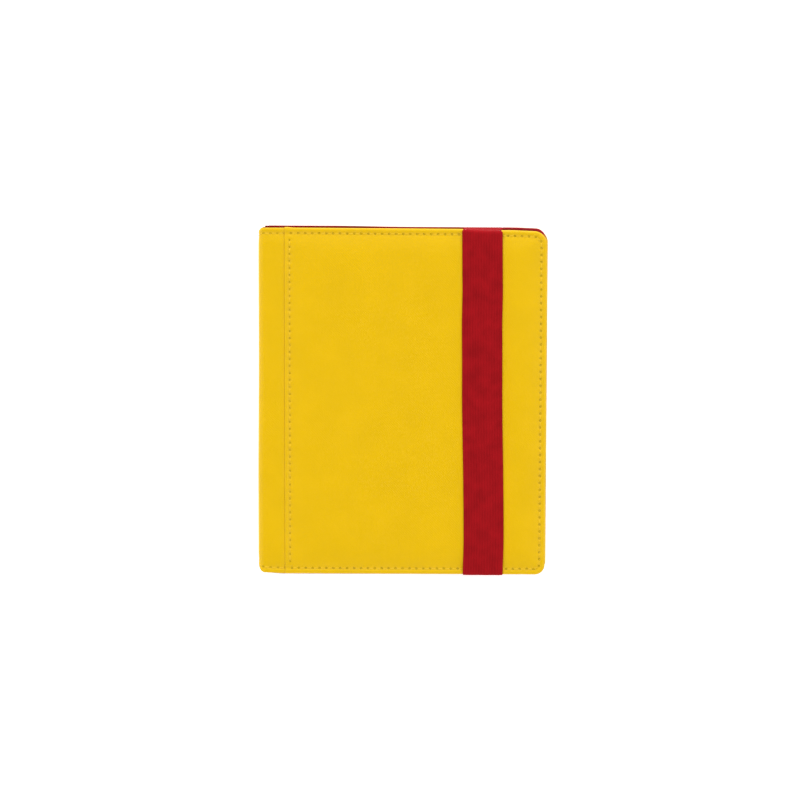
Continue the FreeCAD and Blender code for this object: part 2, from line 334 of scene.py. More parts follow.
def two_skins(rows, columns):
    """Faces of a closed ribbon made of two grids of points: the shown one, then the hidden one."""
    n = rows * columns
    faces = []
    for i in range(rows - 1):
        for j in range(columns - 1):
            a = i * columns + j
            b = a + columns
            faces.append([a, a + 1, b + 1, b])
            faces.append([n + a, n + b, n + b + 1, n + a + 1])
    ring = list(range(columns))
    ring += [i * columns + columns - 1 for i in range(1, rows)]
    ring += [(rows - 1) * columns + j for j in range(columns - 2, -1, -1)]
    ring += [i * columns for i in range(rows - 2, 0, -1)]
    for a, b in zip(ring, ring[1:] + ring[:1]):
        faces.append([b, a, n + a, n + b])
    return faces


# Rows of stitches

def border_runs(start):
    """The border stitching's lengths: head, head corner, fore edge, tail corner and tail."""
    arcs = {end: (CORNERS[end] - STITCH_INSET) * math.pi / 2 for end in CORNERS}
    side = 2 * HALF - CORNERS[1] - CORNERS[-1]
    return WIDTH - CORNERS[1] - start, arcs[1], side, arcs[-1], WIDTH - CORNERS[-1] - start


def border_pitch(start):
    """The pitch that fits a whole number of stitches along the border."""
    total = sum(border_runs(start))
    count = round(total / STITCH_PITCH)
    return total / count, count


def border_along(x, y, start):
    """Distance along the border stitching of the place on it that is nearest to (x, y)."""
    head, arc, side, tail_arc, tail = border_runs(start)
    total = head + arc + side + tail_arc + tail
    to_head, to_tail, to_fore = HALF - y, HALF + y, WIDTH - x
    along = np.where(to_head < to_tail, x - start, total - (x - start))
    near_fore = to_fore < np.minimum(to_head, to_tail)
    along = np.where(near_fore, head + arc + (HALF - CORNERS[1] - y), along)
    for end in CORNERS:
        radius = CORNERS[end] - STITCH_INSET
        inside_x = x - (WIDTH - CORNERS[end])
        inside_y = end * y - (HALF - CORNERS[end])
        turn = np.arctan2(inside_x, inside_y)
        if end == 1:
            value = head + radius * turn
        else:
            value = head + arc + side + radius * (math.pi / 2 - turn)
        along = np.where((inside_x > 0) & (inside_y > 0), value, along)
    return along


def border_place(along, start):
    """The place at a distance along the border stitching."""
    head, arc, side, tail_arc, _ = border_runs(start)
    line = HALF - STITCH_INSET
    if along < head:
        return start + along, line
    along -= head
    if along < arc:
        radius = CORNERS[1] - STITCH_INSET
        turn = along / radius
        return WIDTH - CORNERS[1] + radius * math.sin(turn), HALF - CORNERS[1] + radius * math.cos(turn)
    along -= arc
    if along < side:
        return WIDTH - STITCH_INSET, HALF - CORNERS[1] - along
    along -= side
    if along < tail_arc:
        radius = CORNERS[-1] - STITCH_INSET
        turn = along / radius
        return WIDTH - CORNERS[-1] + radius * math.cos(turn), -HALF + CORNERS[-1] - radius * math.sin(turn)
    return WIDTH - CORNERS[-1] - (along - tail_arc), -line


def dimple(across, along, pitch):
    """How far a row of needle holes pulls the surface in, at a distance across and along the row."""
    wave = pitch / math.pi * np.sin(math.pi * along / pitch)
    holes = HOLE_DEPTH * np.exp(-(across**2 + wave**2) / (2 * HOLE_SIZE**2))
    pucker = PUCKER * np.cos(2 * math.pi * along / pitch) * np.exp(-((across / PUCKER_WIDTH) ** 2))
    return holes + pucker


def border_dip(d):
    """Depth of the padded surface at a distance in from the head, fore edge or tail."""
    inside = STITCH_DIP * np.clip(1 - (d - STITCH_INSET) / CROWN_WIDTH, 0, 1) ** 2
    welt = WELT_DIP + (STITCH_DIP - WELT_DIP) * smooth((d - WELT_TOP) / (STITCH_INSET - WELT_TOP))
    roll = EDGE_FALL * quarter((EDGE_ROLL - d) / EDGE_ROLL)
    return np.where(d > STITCH_INSET, inside, welt + roll)


def seam_dip(s):
    """Depth of the padded surface at a distance from the panel's folded edge beside the spine."""
    inside = SEAM_DIP * np.clip(1 - (s - SEAM_INSET) / SEAM_CROWN, 0, 1) ** 2
    fold = FOLD_DIP + (SEAM_DIP - FOLD_DIP) * smooth((s - FOLD_TOP) / (SEAM_INSET - FOLD_TOP))
    roll = FOLD_FALL * quarter((FOLD_TOP - s) / FOLD_TOP)
    return np.where(s > SEAM_INSET, inside, fold + roll)


SEAM_END = HALF - STITCH_INSET
SEAM_COUNT = round(2 * SEAM_END / STITCH_PITCH)
SEAM_PITCH = 2 * SEAM_END / SEAM_COUNT


def panel_depth(x, y, d):
    """Depth of the padded panel at (x, y), whose distance in from the nearest edge is d."""
    s = x - PANEL_START
    depth = (border_dip(d) ** 3 + seam_dip(s) ** 3) ** (1 / 3)
    pitch = border_pitch(PANEL_START)[0]
    depth = depth + dimple(d - STITCH_INSET, border_along(x, y, PANEL_START), pitch)
    on_seam = smooth((d - STITCH_INSET + 1) / 2)
    depth = depth + on_seam * dimple(s - SEAM_INSET, y + SEAM_END, SEAM_PITCH)
    rise = PANEL_RISE * smooth((d - 6) / 20) * smooth((s - 6) / 20)
    return depth + rise * (uneven(x, y) * 0.6 + 0.4)


def lining_depth(x, y, d):
    """Depth of the lining's shown face: flat on the board, pulled in at the stitches."""
    board = BOARD_STEP * (1 - smooth((d - BOARD_INSET + 1.4) / 1.6))
    welt = LINING_WELT * (1 - smooth((d - WELT_TOP) / (STITCH_INSET - WELT_TOP)))
    roll = LINING_FALL * quarter((EDGE_ROLL - d) / EDGE_ROLL)
    pitch = border_pitch(PANEL_START)[0]
    pulled = dimple(d - STITCH_INSET, border_along(x, y, PANEL_START), pitch)
    seam = x - PANEL_START - SEAM_INSET
    pulled = pulled + smooth((d - STITCH_INSET + 1) / 2) * dimple(seam, y + SEAM_END, SEAM_PITCH)
    groove = LINING_GROOVE * np.exp(-((seam / 1.2) ** 2))
    return COVER - board + welt - roll - pulled - groove - 0.04 * (1 + uneven(y, x))


# Padded panels and linings

def bunch(inset, band):
    """Distances in from an edge, drawn towards it in a band beside it, where the shape turns most."""
    return np.where(inset < band, band * (np.clip(inset, 0, band) / band) ** BUNCH_POWER, inset)


def to_place(keys, start, nx, ny):
    """(x, y, distance in from the edge) of fine lattice keys, with the fore edge's corners rounded."""
    across, up = WIDTH - start, 2 * HALF
    x = keys[:, 0] / (nx * FINE) * across
    y = keys[:, 1] / (ny * FINE) * up
    band = BUNCH_CELLS * across / nx
    x = np.where(across - x < across / 2, across - bunch(across - x, band), bunch(x, band))
    y = np.where(y < HALF, bunch(y, band), up - bunch(up - y, band)) - HALF
    x = x + start
    d = np.minimum(np.minimum(HALF - y, HALF + y), WIDTH - x)
    corner_radius = np.where(y > 0, CORNERS[1], CORNERS[-1])
    qx = x - (WIDTH - corner_radius)
    qy = np.abs(y) - (HALF - corner_radius)
    corner = (qx > 0) & (qy > 0)
    reach = np.hypot(qx, qy)
    scale = np.where(corner, np.maximum(qx, qy) / np.maximum(reach, 1e-9), 1)
    x = np.where(corner, WIDTH - corner_radius + qx * scale, x)
    y = np.where(corner, np.sign(y) * (HALF - corner_radius + qy * scale), y)
    return x, y, d


def under_strap(x):
    """1 where the strap crosses the head and tail edges, 0 away from it."""
    return smooth((STRAP_WIDTH / 2 - 0.2 - np.abs(x - STRAP_CENTRE)) / 1.8)


def cover_sheet(name, front, start, depth, back_depth, overhang, shy, material):
    """A closed sheet that covers one side of a cover, from an offset to the fore edge.

    It stands out by overhang at the head, less at the tail, and stays back by shy at the fore edge.
    The strap presses its edge in.
    """
    nx, ny = round((WIDTH - start) / CELL), round(2 * HALF / CELL)
    seam_cells = (PANEL_START + SEAM_INSET - start) / CELL

    def fine(i, j):
        border = i < 1 or i >= nx - BORDER_CELLS or j < BORDER_CELLS or j >= ny - BORDER_CELLS
        return border or abs(i + 0.5 - seam_cells) < 2

    def place(keys, how):
        x, y, d = to_place(keys, start, nx, ny)
        z = how(x, y, d)
        at_edge = 1 - smooth(d / 2.5)
        out = overhang * (1 + OVERHANG_RISE * (1 - smooth((x - 45) / 50)))
        out = out * (1 - smooth((x - WIDTH + 6) / 5))
        press = np.where(y > 0, STRAP_PRESS[1], STRAP_PRESS[-1])
        out = out - (out + press) * under_strap(x)
        s = x - PANEL_START
        out = out + (STACK_BULGE - overhang) * np.exp(-(((s - 2) / 2.2) ** 2)) * (STACK_BULGE > overhang)
        out = np.where((y < 0) & (out > 0), 0.15 * out, out)
        out = out - np.where(y < 0, TAIL_DRAW + 0.3, 0) * (1 - smooth(x / PANEL_START))
        y = y + np.sign(y) * out * at_edge * (HALF - np.abs(y) < 3)
        x = x - shy * at_edge * smooth((x - WIDTH + 3) / 3)
        return np.stack([x, y, z], axis=1)

    points, faces = closed_sheet(
        nx, ny, fine, lambda k: place(k, depth), lambda k: place(k, back_depth), (0.35, 0.75)
    )
    grain = points * (1, 1, 0)
    return new_mesh(name, from_cover(points, front), faces, [material], grain, flip=front)


def panel_back(x, y, d):
    """The hidden side of a padded panel."""
    return np.full(len(x), PANEL_BACK)


def lining_back(x, y, d):
    """The hidden side of a lining: on the board inside, and at the middle of the cover at its edge."""
    on_board = COVER - 0.48
    return np.where(d < 0.2, MIDDLE, np.minimum(lining_depth(x, y, d) - 0.4, on_board))


# Stitches

def thread(points, inward, faces, verts, strands=2, sides=8):
    """Adds one twisted stitch that follows points, with inward pointing into the leather."""
    points = np.array(points, float)
    count = len(points)
    ahead = np.gradient(points, axis=0)
    ahead /= np.linalg.norm(ahead, axis=1)[:, None]
    side = np.cross(ahead, inward)
    side /= np.linalg.norm(side, axis=1)[:, None]
    up = np.cross(side, ahead)
    length = np.concatenate([[0], np.cumsum(np.linalg.norm(np.diff(points, axis=0), axis=1))])
    start = len(verts)
    for k in range(count):
        end = min(k, count - 1 - k)
        taper = 0.45 + 0.55 * min(1.0, end / 2)
        for m in range(sides):
            angle = 2 * math.pi * m / sides
            swell = 1 + 0.16 * math.cos(strands * (angle - 2.4 * length[k]))
            r = THREAD_RADIUS * taper * swell
            verts.append(points[k] + r * math.cos(angle) * side[k] + 0.75 * r * math.sin(angle) * up[k])
    for k in range(count - 1):
        for m in range(sides):
            n = (m + 1) % sides
            a, b = start + k * sides, start + (k + 1) * sides
            faces.append([a + m, a + n, b + n, b + m])
    faces.append([start + m for m in range(sides)][::-1])
    faces.append([start + (count - 1) * sides + m for m in range(sides)])


def bowl(place, surface, inward, heading, faces, verts, long, wide):
    """Adds one needle hole: a small oval dish whose rim lies on the leather, coloured dark as painted shade in the
    hole.
    """
    ahead = np.array(heading, float)
    ahead /= np.linalg.norm(ahead)
    side = np.cross(ahead, inward)
    start, sides = len(verts), 10
    for radius, sink in ((1.0, -0.05), (0.6, 0.03)):
        for m in range(sides):
            angle = 2 * math.pi * m / sides
            spot = place + long * radius * math.cos(angle) * ahead + wide * radius * math.sin(angle) * side
            verts.append(surface(spot) + sink * inward)
    for m in range(sides):
        n = (m + 1) % sides
        faces.append([start + m, start + sides + m, start + sides + n, start + n])
    faces.append([start + sides + m for m in range(sides)])


# Where a stitch's thread runs: part of the way between its holes, and how deep in the leather
THREAD_RUN = (
    (0.12, 0.25), (0.2, 0.05), (0.32, -0.06), (0.5, -0.10), (0.68, -0.06), (0.8, 0.05), (0.88, 0.25),
)


class Stitches:
    """Collects stitches and needle holes, and makes one piece of them."""

    def __init__(self):
        self.verts, self.faces, self.slots = [], [], []

    def stitch(self, line, inward):
        """Adds one stitch's thread, in the first material."""
        before = len(self.faces)
        thread(line, inward, self.faces, self.verts)
        self.slots += [0] * (len(self.faces) - before)

    def hole(self, place, surface, inward, heading, long, wide):
        """Adds one needle hole, in the second material, which is the painted shade of the hole."""
        before = len(self.faces)
        bowl(place, surface, inward, heading, self.faces, self.verts, long, wide)
        self.slots += [1] * (len(self.faces) - before)

    def row(self, holes, surface, inward, long=0.72, wide=0.62):
        """Stitches between neighbouring holes. surface(point) puts a point on the leather."""
        for a, b in zip(holes, holes[1:]):
            a, b = np.array(a, float), np.array(b, float)
            self.stitch([surface(a + (b - a) * t) + lift * inward for t, lift in THREAD_RUN], inward)
        for k, hole in enumerate(holes):
            near = np.array(holes[min(k + 1, len(holes) - 1)]) - np.array(holes[max(k - 1, 0)])
            self.hole(np.array(hole, float), surface, inward, near, long, wide)

    def piece(self, name, front, materials, on_cover=None):
        """The mesh of all that was added. on_cover(verts) says how far each follows its cover."""
        verts = np.array(self.verts)
        points = from_cover(verts, front, 1.0 if on_cover is None else on_cover(verts))
        return new_mesh(name, points, self.faces, materials, flip=front, slots=self.slots)


def cover_stitches(name, front, depth, inward_z, materials):
    """The border and seam stitches on one side of a cover."""
    stitches = Stitches()
    inward = np.array([0, 0, inward_z], float)

    def surface(p):
        d = min(HALF - abs(p[1]), WIDTH - p[0])
        radius = CORNERS[1 if p[1] > 0 else -1]
        qx, qy = p[0] - (WIDTH - radius), abs(p[1]) - (HALF - radius)
        if qx > 0 and qy > 0:
            d = radius - math.hypot(qx, qy)
        z = depth(np.array([p[0]]), np.array([p[1]]), np.array([d]))[0]
        return np.array([p[0], p[1], z])

    pitch, count = border_pitch(PANEL_START)
    holes = [border_place(k * pitch, PANEL_START) + (0,) for k in range(1, count)]
    stitches.row(holes, surface, inward)
    seam = PANEL_START + SEAM_INSET
    holes = [(seam, -SEAM_END + k * SEAM_PITCH, 0) for k in range(1, SEAM_COUNT)]
    stitches.row(holes, surface, inward, long=0.58, wide=0.5)
    return stitches.piece(name, front, materials)


# Leatherette that wraps the spine, one half for each hinge

def wrap_curve():
    """The wrap's outer line, from the panel's folded edge round the corner to the spine's middle."""
    corner_x, corner_z, edge = 3.9, 4.6, 0.57
    line = [(PANEL_START - 0.04, 0.95), (PANEL_START - 0.5, 0.84), (PANEL_START - 1.4, 0.7)]
    line += [(12.5, 0.52), (9.0, 0.45), (6.5, 0.46), (5.2, 0.49), (corner_x, edge)]
    for k in range(1, 13):
        a = math.pi / 2 * k / 12
        line.append((corner_x * (1 - math.sin(a)), edge + (corner_z - edge) * (1 - math.cos(a))))
    line.append((0.0, THICKNESS / 2))
    return np.array(line)


WRAP = wrap_curve()
WRAP_ALONG = np.concatenate([[0], np.cumsum(np.hypot(*np.diff(WRAP, axis=0).T))])
WRAP_LENGTH = WRAP_ALONG[-1]
WRAP_PITCH = WRAP_LENGTH / round(WRAP_LENGTH / STITCH_PITCH)


def wrap_place(u):
    """Offset and depth of the wrap's outer line at a distance along it, and its inward direction."""
    x, z = (np.interp(u, WRAP_ALONG, WRAP[:, k]) for k in (0, 1))
    step = 0.6
    ahead_x, ahead_z = (np.interp(u + step, WRAP_ALONG, WRAP[:, k]) for k in (0, 1))
    back_x, back_z = (np.interp(u - step, WRAP_ALONG, WRAP[:, k]) for k in (0, 1))
    tx, tz = ahead_x - back_x, ahead_z - back_z
    size = np.hypot(tx, tz)
    return x, z, tz / size, -tx / size


def end_inset(x, y):
    """How far the wrap's head and tail are drawn in where the spine's corners are rounded."""
    drawn_in = 0.12 + np.where(y > 0, 0, TAIL_DRAW) * (1 - smooth(x / PANEL_START))
    radius = np.where(y > 0, HEAD_ROUND, TAIL_ROUND)
    inside = np.clip(radius - x, 0, radius - 0.01)
    return radius - np.sqrt(radius**2 - inside**2) + drawn_in


def wrap_points(u, y, inner):
    """Points of the wrap's outer or inner face, in the cover frame."""
    x, z, nx, nz = wrap_place(u)
    bow = SPINE_FLARE * smooth(y / HALF) + SPINE_FULL + SPINE_BOW * np.exp(-(((y + 35) / 50) ** 2))
    x = x - bow * (1 - smooth(x / 10))
    d = HALF - np.abs(y)
    drawn = y * (1 - end_inset(x, y) / HALF)
    if inner:
        on_cover = smooth((x - LINING_START - 0.6) / 3)
        thick = WRAP_THICKNESS * (1 - on_cover) + (PANEL_BACK - z) * on_cover
        return np.stack([x + nx * thick, drawn, z + nz * thick], axis=1)
    on_spine = 1 - smooth((x - 2) / 6)
    crown = WRAP_DIP * (1 - 0.45 * on_spine)
    dip = np.where(d > STITCH_INSET, crown * np.clip(1 - (d - STITCH_INSET) / 7, 0, 1) ** 2, 0)
    welt = crown * (0.35 + 0.65 * smooth((d - WELT_TOP) / (STITCH_INSET - WELT_TOP)))
    roll = WRAP_FALL * quarter((EDGE_ROLL - d) / EDGE_ROLL)
    dip = np.where(d > STITCH_INSET, dip, welt + roll)
    dip = dip + 0.8 * dimple(d - STITCH_INSET, u, WRAP_PITCH)
    dip = dip * smooth(WRAP_LENGTH / 2 + 40 - u) + 0.03 * uneven(y, u)
    return np.stack([x + nx * dip, drawn, z + nz * dip], axis=1)


def wrap_tilt(points):
    """How far points of the wrap follow their cover: 1 on the cover and 0 on the spine."""
    return smooth((points[:, 0] - points[:, 2] + 4.5) / 9)


def wrap_half(name, front, material):
    """Half of the spine wrap, with the part of it that lies on one cover."""
    nx, ny = round(WRAP_LENGTH / CELL), round(2 * HALF / CELL)
    turn = np.interp(LINING_START + 1, WRAP[::-1, 0], WRAP_ALONG[::-1])

    def fine(i, j):
        near_corner = abs((i + 0.5) * CELL - turn - 3) < 5.5
        return j < BORDER_CELLS or j >= ny - BORDER_CELLS or near_corner or i < 1

    def to_uy(keys):
        u = keys[:, 0] / (nx * FINE) * WRAP_LENGTH
        y = keys[:, 1] / (ny * FINE) * 2 * HALF
        band = BUNCH_CELLS * CELL
        y = bunch(y, band)
        far = 2 * HALF - y
        return u, np.where(far < band, 2 * HALF - bunch(far, band), y) - HALF

    def face(inner):
        return lambda keys: wrap_points(*to_uy(keys), inner)

    points, faces = closed_sheet(nx, ny, fine, face(False), face(True), (0.5,))
    x, _, z = points.T
    unfolded = np.where(x > 4, x, 4 - (z - 0.3) - (4 - x) * 0.3)
    grain = np.stack([unfolded, points[:, 1], 0 * x], axis=1)
    carried = from_cover(points, front, wrap_tilt(points))
    piece = new_mesh(name, carried, faces, [material], grain, flip=not front)
    sharpen(piece)
    return piece


def wrap_stitches(name, front, materials):
    """The head and tail stitches of one half of the spine wrap."""
    stitches = Stitches()
    count = round(WRAP_LENGTH / WRAP_PITCH)

    def surface(p):
        return wrap_points(np.array([p[0]]), np.array([p[1]]), False)[0]

    def inward_at(u):
        _, _, x, z = wrap_place(np.array([u]))
        return np.array([x[0], 0, z[0]])

    for side in (1, -1):
        line = side * (HALF - STITCH_INSET)
        for k in range(count):
            inward = inward_at((k + 0.5) * WRAP_PITCH)
            path = [surface(((k + t) * WRAP_PITCH, line)) + lift * inward for t, lift in THREAD_RUN]
            stitches.stitch(path, inward)
        for k in range(1, count):
            place, inward = np.array([k * WRAP_PITCH, line]), inward_at(k * WRAP_PITCH)
            start = surface(place)
            ahead = np.array([-inward[2], 0, inward[0]])

            def on_wrap(spot, place=place, start=start, ahead=ahead):
                along = (spot - start) @ ahead
                return surface((place[0] - along, place[1] + spot[1] - start[1]))

            stitches.hole(start, on_wrap, inward, ahead, 0.7, 0.42)
    return stitches.piece(name, front, materials, wrap_tilt)


# The hinge lining's line, from under a cover's lining round the corner and up the spine's inside
HINGE_LINE = np.array([
    (LINING_START + 3.2, COVER - 0.22),
    (LINING_START + 1.6, COVER - 0.16),
    (LINING_START + 0.5, COVER - 0.05),
    (LINING_START - 0.2, COVER + 0.25),
    (SPINE_INSIDE + 0.12, COVER + 0.8),
    (SPINE_INSIDE + 0.02, COVER + 1.6),
    (SPINE_INSIDE, BLOCK_LOW + 2.5),
    (SPINE_INSIDE, THICKNESS / 2),
])
HINGE_ALONG = np.concatenate([[0], np.cumsum(np.hypot(*np.diff(HINGE_LINE, axis=0).T))])


def hinge_lining(name, front, material):
    """The red cloth that crosses the hinge inside, from a cover's lining to the middle of the spine."""
    rows, columns = 44, 110
    u = np.linspace(0, HINGE_ALONG[-1], rows)
    x, z = (np.interp(u, HINGE_ALONG, HINGE_LINE[:, k]) for k in (0, 1))
    tx, tz = np.gradient(x), np.gradient(z)
    size = np.hypot(tx, tz)
    y = np.linspace(HINGE_TAIL_SHY - HALF, HALF + HINGE_HEAD_REACH, columns)
    shown = np.stack([np.repeat(x, columns), np.tile(y, rows), np.repeat(z, columns)], axis=1)
    under = shown.copy()
    thick = np.repeat(0.35 + 1.05 * smooth((z - COVER) / 1.6), columns)
    under[:, 0] -= np.repeat(tz / size, columns) * thick
    under[:, 2] += np.repeat(tx / size, columns) * thick
    points = np.concatenate([shown, under])
    faces = two_skins(rows, columns)
    on_cover = smooth((points[:, 0] - points[:, 2] + 2.0) / 4)
    piece = new_mesh(name, from_cover(points, front, on_cover), faces, [material], points, flip=not front)
    sharpen(piece)
    return piece


# Leaves

def leaf_frame(number):
    """Root, direction along the leaf, upward direction and length, read from the leaf's CAD sheet."""
    root = Vector(joints[f"leaf_{number:02d}_turn"]["pos_m"]) / MM
    low, high = low_high(f"leaf_{number:02d}_sheet")
    ahead = Vector((high.x - root.x, 0, low.z - root.z))
    ahead.normalize()
    up = Vector((-ahead.z, 0, ahead.x))
    length = (high.x - root.x) / ahead.x
    return root, np.array(ahead), np.array(up), length


def place_leaf(local, number):
    """Points given as distance from the root, place along the spine and height, in the row frame."""
    root, ahead, up, _ = leaf_frame(number)
    local = np.asarray(local, float)
    out = np.array(root) + np.outer(local[:, 0], ahead) + np.outer(local[:, 2], up)
    out[:, 1] += local[:, 1]
    return out


def slab(outline_xy, low, high, verts, faces):
    """Adds a thin flat plate with a given outline between two heights."""
    start, n = len(verts), len(outline_xy)
    verts += [(x, y, low) for x, y in outline_xy]
    verts += [(x, y, high) for x, y in outline_xy]
    faces.append([start + k for k in range(n)][::-1])
    faces.append([start + n + k for k in range(n)])
    for k in range(n):
        m = (k + 1) % n
        faces.append([start + k, start + m, start + n + m, start + n + k])


def leaf_sheet(number, material, shift):
    """The opaque sheet of a leaf, from inside the binding block to its free edge."""
    length = leaf_frame(number)[3]
    half = low_high(f"leaf_{number:02d}_sheet")[1].y
    length += shift[0]
    radius = PAGE_CORNER
    stops = list(np.linspace(-1.6, LEAF_BEND + 2, 18))
    stops += list(np.linspace(LEAF_BEND + 2, length - radius, 14)[1:])
    stops += [length - radius + radius * math.sin(a) for a in np.linspace(0, math.pi / 2, 6)[1:]]
    verts, faces = [], []
    across = np.linspace(-1, 1, 13)
    for s in stops:
        past = max(0.0, s - (length - radius))
        reach = half - radius + math.sqrt(max(0.0, radius**2 - past**2))
        for height in (-PAGE, PAGE):
            verts += [(s, t * reach + shift[1], height) for t in across]
    n = len(across)
    for i in range(len(stops) - 1):
        a, b = i * 2 * n, (i + 1) * 2 * n
        for j in range(n - 1):
            faces.append([a + j + 1, a + j, b + j, b + j + 1])
            faces.append([a + n + j, a + n + j + 1, b + n + j + 1, b + n + j])
        faces.append([a, a + n, b + n, b])
        faces.append([a + n - 1, b + n - 1, b + 2 * n - 1, a + 2 * n - 1])
    for a in (0, (len(stops) - 1) * 2 * n):
        for j in range(n - 1):
            quad = [a + j, a + j + 1, a + n + j + 1, a + n + j]
            faces.append(quad if a == 0 else quad[::-1])
    points = place_leaf(verts, number)
    piece = new_mesh(f"page_{number:02d}", points, faces, [material], verts, flip=True)
    sharpen(piece, 40)
    return piece


def pocket_outline(x0, y0):
    """A pocket's outline, with a thumb notch in the open side that faces the spine."""
    x1, y1 = x0 + POCKET_WIDTH, y0 + POCKET_HEIGHT
    middle = (y0 + y1) / 2
    ring = [(x0, y0), (x1, y0), (x1, y1), (x0, y1), (x0, middle + NOTCH)]
    for k in range(1, 12):
        a = math.pi * k / 12
        ring.append((x0 + 0.72 * NOTCH * math.sin(a), middle + NOTCH * math.cos(a)))
    ring.append((x0, middle - NOTCH))
    return ring


def leaf_pockets(number, film, shift):
    """The clear pockets of a leaf, with their weld lines."""
    length = leaf_frame(number)[3]
    outer = length - EDGE_SEAM - POCKET_WIDTH
    inner = outer - COLUMN_SEAM - POCKET_WIDTH
    verts, faces = [], []
    for side in (1, -1):
        base = side * (PAGE + FILM_GAP)
        top = base + side * FILM * 0.8
        bead = base + side * (FILM + 0.02)
        for x0 in (outer, inner):
            for y0 in (ROW_SEAM / 2, -ROW_SEAM / 2 - POCKET_HEIGHT):
                low, high = sorted((base, top))
                slab(pocket_outline(x0, y0), low, high, verts, faces)
                low, high = sorted((top + side * 0.002, bead))
                x1, y1 = x0 + POCKET_WIDTH, y0 + POCKET_HEIGHT
                for line in WELDS:
                    runs = [
                        (x0, y0 + line, x1 - line, y0 + line + WELD_WIDTH),
                        (x0, y1 - line - WELD_WIDTH, x1 - line, y1 - line),
                        (x1 - line - WELD_WIDTH, y0 + line + WELD_WIDTH, x1 - line, y1 - line - WELD_WIDTH),
                    ]
                    for a, b, c, e in runs:
                        slab([(a, b), (c, b), (c, e), (a, e)], low, high, verts, faces)
    verts = [(x + shift[0], y + shift[1], z) for x, y, z in verts]
    points = place_leaf(verts, number)
    name = f"pockets_{number:02d}"
    return new_mesh(name, points, faces, [film], verts, flip=True, smooth_shade=False)


# Strap

def strap_line(side):
    """Half of the strap's inner line over the front cover, to the end of its bend round the edge.

    Each point has its distance from the middle, and its depth below the crown.
    """
    edge = HALF - STRAP_PRESS[side] + 0.05
    bend = STRAP_BEND
    line = [(y, -0.06) for y in np.linspace(0, HALF - 19, 44)]
    line += [(HALF - inset, depth) for inset, depth in ((15, -0.04), (11, 0.02), (7, 0.2), (4, 0.38))]
    line.append((edge - bend - 0.6, 0.5))
    for a in np.linspace(0.12, math.pi / 2, 9):
        line.append((edge - bend + bend * math.sin(a), 0.52 + bend * (1 - math.cos(a))))
    return np.array(line)


def strap_leg(top, foot, count=11):
    """Evenly spaced points from the end of the bend to the foot."""
    steps = np.linspace(0, 1, count)[1:, None, None]
    return top * (1 - steps) + foot * steps


def strap_drift(y):
    """How far the strap wanders towards the fore edge from its straight place."""
    waves = 0.15 * np.sin(y / 38 + 0.6) + 0.1 * np.sin(y / 17)
    at_head = 0.65 * smooth((y - 45) / 28)
    at_tail = 0.35 * smooth(-y / 70) + 0.57 * smooth((15 - y) / 60) - 0.5 * smooth((-y - 85) / 25)
    return 0.2 - 0.0075 * y + waves + at_head + at_tail


def elastic_strap(material):
    """The ribbed elastic, from one edge of the back cover over the front to the other edge."""
    line = np.concatenate([strap_line(-1)[:0:-1] * (-1, 1), strap_line(1)])
    tangent = np.gradient(line, axis=0)
    tangent /= np.linalg.norm(tangent, axis=1)[:, None]
    outward = np.stack([tangent[:, 1], -tangent[:, 0]], axis=1)
    columns = STRAP_RIBS * RIB_STEPS + 1
    t = np.linspace(-1, 1, columns)
    ribs = 0.5 - 0.5 * np.cos(math.pi * STRAP_RIBS * (t + 1))
    thick = STRAP_THICKNESS - 0.1 - RIB_HEIGHT * (1 - ribs) - 0.35 * np.abs(t) ** 24
    drift = strap_drift(line[:, 0])
    outer, inner = [], []
    for k in range(len(line)):
        x = STRAP_CENTRE + t * (STRAP_WIDTH / 2) + drift[k]
        top = line[k] + outward[k] * thick[:, None]
        low = line[k] + outward[k] * RIB_UNDER * (1 - ribs)[:, None]
        outer.append(from_cover(np.stack([x, top[:, 0], top[:, 1]], axis=1), True))
        inner.append(from_cover(np.stack([x, low[:, 0], low[:, 1]], axis=1), True))
    outer, inner = np.array(outer), np.array(inner)
    floor = low_high("elastic_strap")[0].z
    for side in (1, -1):
        foot_x = SPINE_FACE + STRAP_CENTRE + t * (STRAP_WIDTH / 2)
        foot_z = np.full(columns, floor)
        edge = side * (HALF + STRAP_GAP - (HEAD_FOOT_DRAW if side == 1 else 0))
        foot_in = np.stack([foot_x, edge + side * RIB_UNDER * (1 - ribs), foot_z], axis=1)
        foot_out = np.stack([foot_x, edge + side * thick, foot_z], axis=1)
        ends = (outer[-1], inner[-1]) if side == 1 else (outer[0], inner[0])
        leg_out, leg_in = strap_leg(ends[0], foot_out), strap_leg(ends[1], foot_in)
        if side == 1:
            outer, inner = np.concatenate([outer, leg_out]), np.concatenate([inner, leg_in])
        else:
            outer, inner = np.concatenate([leg_out[::-1], outer]), np.concatenate([leg_in[::-1], inner])
    rows = len(outer)
    middle = outer[:, columns // 2]
    along = np.concatenate([[0], np.cumsum(np.linalg.norm(np.diff(middle, axis=0), axis=1))])
    across = np.tile(t * STRAP_WIDTH / 2, rows)
    grain = np.stack([across, np.repeat(along, columns), np.zeros(rows * columns)], axis=1)
    grain = np.concatenate([grain, grain])
    points = np.concatenate([outer.reshape(-1, 3), inner.reshape(-1, 3)])
    return new_mesh("strap_band", points, two_skins(rows, columns), [material], grain)


# Materials

